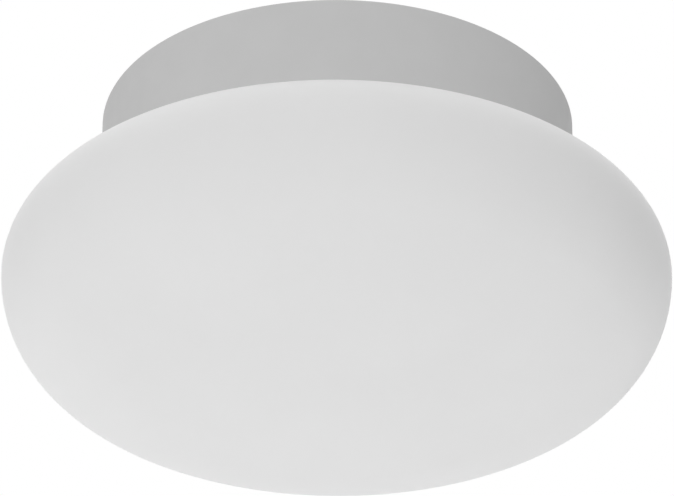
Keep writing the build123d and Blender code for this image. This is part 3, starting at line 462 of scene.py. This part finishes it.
def striped(name, first, second, rough, width):
    """Wire insulation in two colours that wind round it."""
    material, tree, shader, place = start_material(name)
    bands = tree.nodes.new("ShaderNodeTexWave")
    bands.wave_type = "BANDS"
    bands.bands_direction = "DIAGONAL"
    bands.inputs["Scale"].default_value = BAND_SCALE / width
    bands.inputs["Distortion"].default_value = BAND_DISTORTION
    tree.links.new(place, bands.inputs["Vector"])
    colour_between(tree, shader, bands.outputs["Fac"], first, second, span=BAND_SPAN)
    gloss = noise(tree, place, width)
    roughness_between(tree, shader, gloss, rough - MOULDED_GLOSS_SPREAD, rough + MOULDED_GLOSS_SPREAD)
    return material


def opal_glass():
    """Satin opal glass: milky inside, with the faint waviness of blowing."""
    material, tree, shader, place = start_material("opal_glass")
    clouds = noise(tree, place, OPAL_CLOUD, OPAL_CLOUD_DETAIL)
    colour_between(tree, shader, clouds, *shades(OPAL_COLOUR, OPAL_CLOUD_SPREAD))
    roughness_between(tree, shader, noise(tree, place, OPAL_GLOSS), *OPAL_ROUGHNESS)
    relief(tree, shader, noise(tree, place, OPAL_WAVE, OPAL_WAVE_DETAIL), OPAL_WAVE_DEPTH)
    milkiness(shader, OPAL_MILK, OPAL_MILK_DEPTH)
    shader.inputs["IOR"].default_value = OPAL_IOR
    return material


def board_mask():
    """White solder mask, a little paler and higher over the copper between the rings of emitters."""
    material, tree, shader, place = start_material("board_white")
    distance = tree.nodes.new("ShaderNodeVectorMath")
    distance.operation = "LENGTH"
    flat = stretched(tree, place, (1.0, 1.0, 0.0))
    tree.links.new(flat, distance.inputs[0])
    rings = tree.nodes.new("ShaderNodeMath")
    rings.operation = "PINGPONG"
    rings.inputs[1].default_value = LED_PITCH / 2
    tree.links.new(distance.outputs["Value"], rings.inputs[0])
    copper = tree.nodes.new("ShaderNodeMapRange")
    copper.inputs["From Min"].default_value = COPPER_GAP - COPPER_EDGE / 2
    copper.inputs["From Max"].default_value = COPPER_GAP + COPPER_EDGE / 2
    tree.links.new(rings.outputs["Value"], copper.inputs["Value"])
    colour_between(tree, shader, copper.outputs["Result"], BARE_COLOUR, COPPER_COLOUR, span=(0.0, 1.0))
    roughness_between(tree, shader, noise(tree, place, MASK_GLOSS), *MASK_ROUGHNESS)
    relief(tree, shader, copper.outputs["Result"], COPPER_HEIGHT)
    return material


# Light
def background_rays(tree):
    """One for the rays that show the background: to the camera, in a reflection and through glass."""
    path = tree.nodes.new("ShaderNodeLightPath")
    seen = path.outputs["Is Camera Ray"]
    for ray in ("Is Glossy Ray", "Is Transmission Ray"):
        either = tree.nodes.new("ShaderNodeMath")
        either.operation = "MAXIMUM"
        tree.links.new(seen, either.inputs[0])
        tree.links.new(path.outputs[ray], either.inputs[1])
        seen = either.outputs["Value"]
    return seen


def lamp(name, direction, radiance):
    """A square lamp that faces the middle of the glass."""
    data = bpy.data.lights.new(name, "AREA")
    data.size = LAMP_SIZE
    data.energy = radiance * pi * LAMP_SIZE * LAMP_SIZE
    piece = bpy.data.objects.new(name, data)
    piece.location = middle + Vector(direction).normalized() * LAMP_DISTANCE
    piece.rotation_mode = "QUATERNION"
    piece.rotation_quaternion = (-Vector(direction)).to_track_quat("-Z", "Y")
    piece.visible_camera = False
    piece.visible_glossy = False
    bpy.context.scene.collection.objects.link(piece)


# Finishes
finishes = {"opal_glass": opal_glass(), "board_white": board_mask()}
for make, looks in ((moulded, MOULDED), (metal, METALS), (foam, FOAMS), (striped, STRIPES)):
    for name, look in looks.items():
        finishes[name] = make(name, **look)

# Finishes on the CAD nodes
slots = {row["node"]: row["material_slot"] for row in frame["record"]["subparts"]}
for node, piece in nodes.items():
    piece.data.materials.clear()
    piece.data.materials.append(finishes[slots[node]])

# Glass diffuser
outer_skin = glass_skin(0, OUTER_STEPS)
inner_skin = glass_skin(GLASS_WALL, INNER_STEPS)
glass = bowl("glass_shell", outer_skin + neck_end() + inner_skin[::-1])
glass.data.materials.append(finishes["opal_glass"])
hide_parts("glass_diffuser")
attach(glass, "diffuser")

# Paint film over the housing's wall and round its two edges
film = hoop("housing_film", wall_skin(PAINT_FILM) + wall_skin(-PAINT_BITE)[::-1])
film.data.materials.append(finishes["housing_paint"])
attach(film, "housing")

# Emitters in rings, every second ring staggered
chips = bmesh.new()
for ring in range(1, LED_RINGS + 1):
    count = FIRST_RING_LEDS * ring
    stagger = 0 if ring % 2 else pi / count
    for index in range(count):
        led_package(chips, ring * LED_PITCH, Quaternion((0, 0, 1), stagger + 2 * pi * index / count))
packages = closed_mesh("led_packages", chips)
packages.data.shade_flat()
for look in LED_LOOKS:
    packages.data.materials.append(finishes[look])
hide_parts("led_chips")
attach(packages, "housing")

# Floor
floor_mesh = bmesh.new()
bmesh.ops.create_grid(floor_mesh, x_segments=1, y_segments=1, size=FLOOR_SIZE)
floor = finished_mesh("floor", floor_mesh)
floor.location = (0, 0, -FLOOR_DROP)
floor_material, floor_tree, floor_shader, _ = start_material("floor")
floor_shader.inputs["Base Color"].default_value = FLOOR_COLOUR
floor_shader.inputs["Roughness"].default_value = FLOOR_ROUGHNESS
floor_shader.inputs["Emission Color"].default_value = WHITE
glow = floor_tree.nodes.new("ShaderNodeMath")
glow.operation = "MULTIPLY"
glow.inputs[1].default_value = FLOOR_GLOW
floor_tree.links.new(background_rays(floor_tree), glow.inputs[0])
floor_tree.links.new(glow.outputs["Value"], floor_shader.inputs["Emission Strength"])
floor.data.materials.append(floor_material)

# World
world = bpy.data.worlds.new("studio")
world.use_nodes = True
bpy.context.scene.world = world
world_nodes, world_links = world.node_tree.nodes, world.node_tree.links
ambient = world_nodes["Background"]
ambient.inputs["Color"].default_value = WHITE
ambient.inputs["Strength"].default_value = AMBIENT
backdrop = world_nodes.new("ShaderNodeBackground")
backdrop.inputs["Color"].default_value = WHITE
backdrop.inputs["Strength"].default_value = BACKGROUND
mixed = world_nodes.new("ShaderNodeMixShader")
world_links.new(background_rays(world.node_tree), mixed.inputs["Fac"])
world_links.new(ambient.outputs["Background"], mixed.inputs[1])
world_links.new(backdrop.outputs["Background"], mixed.inputs[2])
world_links.new(mixed.outputs["Shader"], world_nodes["World Output"].inputs["Surface"])

# Lamps
for name, (direction, radiance) in LAMPS.items():
    lamp(name, direction, radiance)

# Camera
camera_data = bpy.data.cameras.new("camera")
camera_data.sensor_width = SENSOR_WIDTH
camera_data.lens = PIXELS_PER_METRE * CAMERA_DISTANCE * SENSOR_WIDTH / IMAGE_WIDTH
camera_data.clip_end = VIEW_DEPTH
camera = bpy.data.objects.new("camera", camera_data)
forward = Vector((0, cos(CAMERA_PITCH), sin(CAMERA_PITCH)))
upward = Vector((0, -sin(CAMERA_PITCH), cos(CAMERA_PITCH)))
camera.location = middle - forward * CAMERA_DISTANCE
aim = middle + Vector((AIM_RIGHT, 0, 0)) + upward * AIM_UP - camera.location
camera.rotation_mode = "QUATERNION"
camera.rotation_quaternion = aim.to_track_quat("-Z", "Y") @ Quaternion((0, 0, 1), CAMERA_ROLL)
bpy.context.scene.collection.objects.link(camera)
bpy.context.scene.camera = camera

bpy.context.scene.view_settings.view_transform = "Standard"
